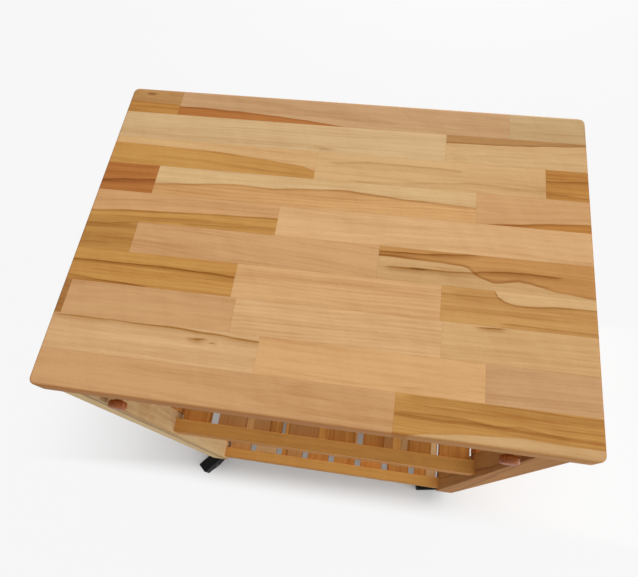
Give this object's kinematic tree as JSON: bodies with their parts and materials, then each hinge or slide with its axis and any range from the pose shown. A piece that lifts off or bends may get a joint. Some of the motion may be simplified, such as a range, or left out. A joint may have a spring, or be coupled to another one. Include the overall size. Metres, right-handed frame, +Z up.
{
  "type": "butcher block table",
  "caption": "Rolling butcher block table: a thick laminated wood top on square legs, with slatted shelves below, pegs on the front apron and twin-wheel casters.",
  "frame": {"origin": "on the floor, under the middle of the worktop", "axes": "+X along the worktop's staves to the right as seen from the front, +Y to the back, +Z up"},
  "size_m": [0.7224, 0.5656, 0.94],
  "materials": {
    "top_wood": "oiled laminated beech staves",
    "leg_wood": "oiled beech",
    "rail_wood": "oiled heart beech",
    "slat_wood": "oiled beech",
    "dowel_wood": "raw beech",
    "peg_wood": "dark reddish-brown stain, satin",
    "steel": "zinc-plated",
    "hood_plastic": "moulded black",
    "wheel_plastic": "moulded black"
  },
  "bodies": {
    "table": {"apron_back": "rail_wood", "apron_front": "rail_wood", "apron_left": "rail_wood", "apron_right": "rail_wood", "caster_stems": "steel", "frame_dowels": "dowel_wood", "leg_back_left": "leg_wood", "leg_back_right": "leg_wood", "leg_front_left": "leg_wood", "leg_front_right": "leg_wood", "lower_rail_back": "rail_wood", "lower_rail_front": "rail_wood", "lower_rail_left": "rail_wood", "lower_rail_right": "rail_wood", "lower_slat_1": "slat_wood", "lower_slat_2": "slat_wood", "lower_slat_3": "slat_wood", "lower_slat_4": "slat_wood", "lower_slat_5": "slat_wood", "lower_slat_6": "slat_wood", "lower_slat_7": "slat_wood", "lower_slat_8": "slat_wood", "peg_left": "peg_wood", "peg_right": "peg_wood", "top_screws": "steel", "upper_rail_back": "rail_wood", "upper_rail_front": "rail_wood", "upper_rail_left": "rail_wood", "upper_rail_right": "rail_wood", "upper_slat_1": "slat_wood", "upper_slat_2": "slat_wood", "upper_slat_3": "slat_wood", "upper_slat_4": "slat_wood", "upper_slat_5": "slat_wood", "upper_slat_6": "slat_wood", "upper_slat_7": "slat_wood", "upper_slat_8": "slat_wood", "worktop": "top_wood"},
    "caster_front_left": {"caster_hood_front_left": "hood_plastic", "caster_axle_front_left": "steel"},
    "wheel_front_left_a": {"caster_wheel_front_left_a": "wheel_plastic"},
    "wheel_front_left_b": {"caster_wheel_front_left_b": "wheel_plastic"},
    "caster_front_right": {"caster_hood_front_right": "hood_plastic", "caster_axle_front_right": "steel"},
    "wheel_front_right_a": {"caster_wheel_front_right_a": "wheel_plastic"},
    "wheel_front_right_b": {"caster_wheel_front_right_b": "wheel_plastic"},
    "caster_back_left": {"caster_hood_back_left": "hood_plastic", "caster_axle_back_left": "steel"},
    "wheel_back_left_a": {"caster_wheel_back_left_a": "wheel_plastic"},
    "wheel_back_left_b": {"caster_wheel_back_left_b": "wheel_plastic"},
    "caster_back_right": {"caster_hood_back_right": "hood_plastic", "caster_axle_back_right": "steel"},
    "wheel_back_right_a": {"caster_wheel_back_right_a": "wheel_plastic"},
    "wheel_back_right_b": {"caster_wheel_back_right_b": "wheel_plastic"}
  },
  "joints": [
    {"name": "swivel_front_left", "type": "hinge", "parent": "table", "child": "caster_front_left", "pos_m": [-0.305, -0.221, 0.045], "axis": [0, 0, 1], "continuous": true},
    {"name": "roll_front_left_a", "type": "hinge", "parent": "caster_front_left", "child": "wheel_front_left_a", "pos_m": [-0.33026, -0.25006, 0.03], "axis": [-0.7547, 0.6561, 0], "continuous": true},
    {"name": "roll_front_left_b", "type": "hinge", "parent": "caster_front_left", "child": "wheel_front_left_b", "pos_m": [-0.33026, -0.25006, 0.03], "axis": [-0.7547, 0.6561, 0], "continuous": true},
    {"name": "swivel_front_right", "type": "hinge", "parent": "table", "child": "caster_front_right", "pos_m": [0.305, -0.221, 0.045], "axis": [0, 0, 1], "continuous": true},
    {"name": "roll_front_right_a", "type": "hinge", "parent": "caster_front_right", "child": "wheel_front_right_a", "pos_m": [0.26697, -0.22702, 0.03], "axis": [-0.1564, 0.9877, 0], "continuous": true},
    {"name": "roll_front_right_b", "type": "hinge", "parent": "caster_front_right", "child": "wheel_front_right_b", "pos_m": [0.26697, -0.22702, 0.03], "axis": [-0.1564, 0.9877, 0], "continuous": true},
    {"name": "swivel_back_left", "type": "hinge", "parent": "table", "child": "caster_back_left", "pos_m": [-0.305, 0.221, 0.045], "axis": [0, 0, 1], "continuous": true},
    {"name": "roll_back_left_a", "type": "hinge", "parent": "caster_back_left", "child": "wheel_back_left_a", "pos_m": [-0.26697, 0.22702, 0.03], "axis": [0.1564, -0.9877, 0], "continuous": true},
    {"name": "roll_back_left_b", "type": "hinge", "parent": "caster_back_left", "child": "wheel_back_left_b", "pos_m": [-0.26697, 0.22702, 0.03], "axis": [0.1564, -0.9877, 0], "continuous": true},
    {"name": "swivel_back_right", "type": "hinge", "parent": "table", "child": "caster_back_right", "pos_m": [0.305, 0.221, 0.045], "axis": [0, 0, 1], "continuous": true},
    {"name": "roll_back_right_a", "type": "hinge", "parent": "caster_back_right", "child": "wheel_back_right_a", "pos_m": [0.33026, 0.25006, 0.03], "axis": [0.7547, -0.6561, 0], "continuous": true},
    {"name": "roll_back_right_b", "type": "hinge", "parent": "caster_back_right", "child": "wheel_back_right_b", "pos_m": [0.33026, 0.25006, 0.03], "axis": [0.7547, -0.6561, 0], "continuous": true}
  ]
}
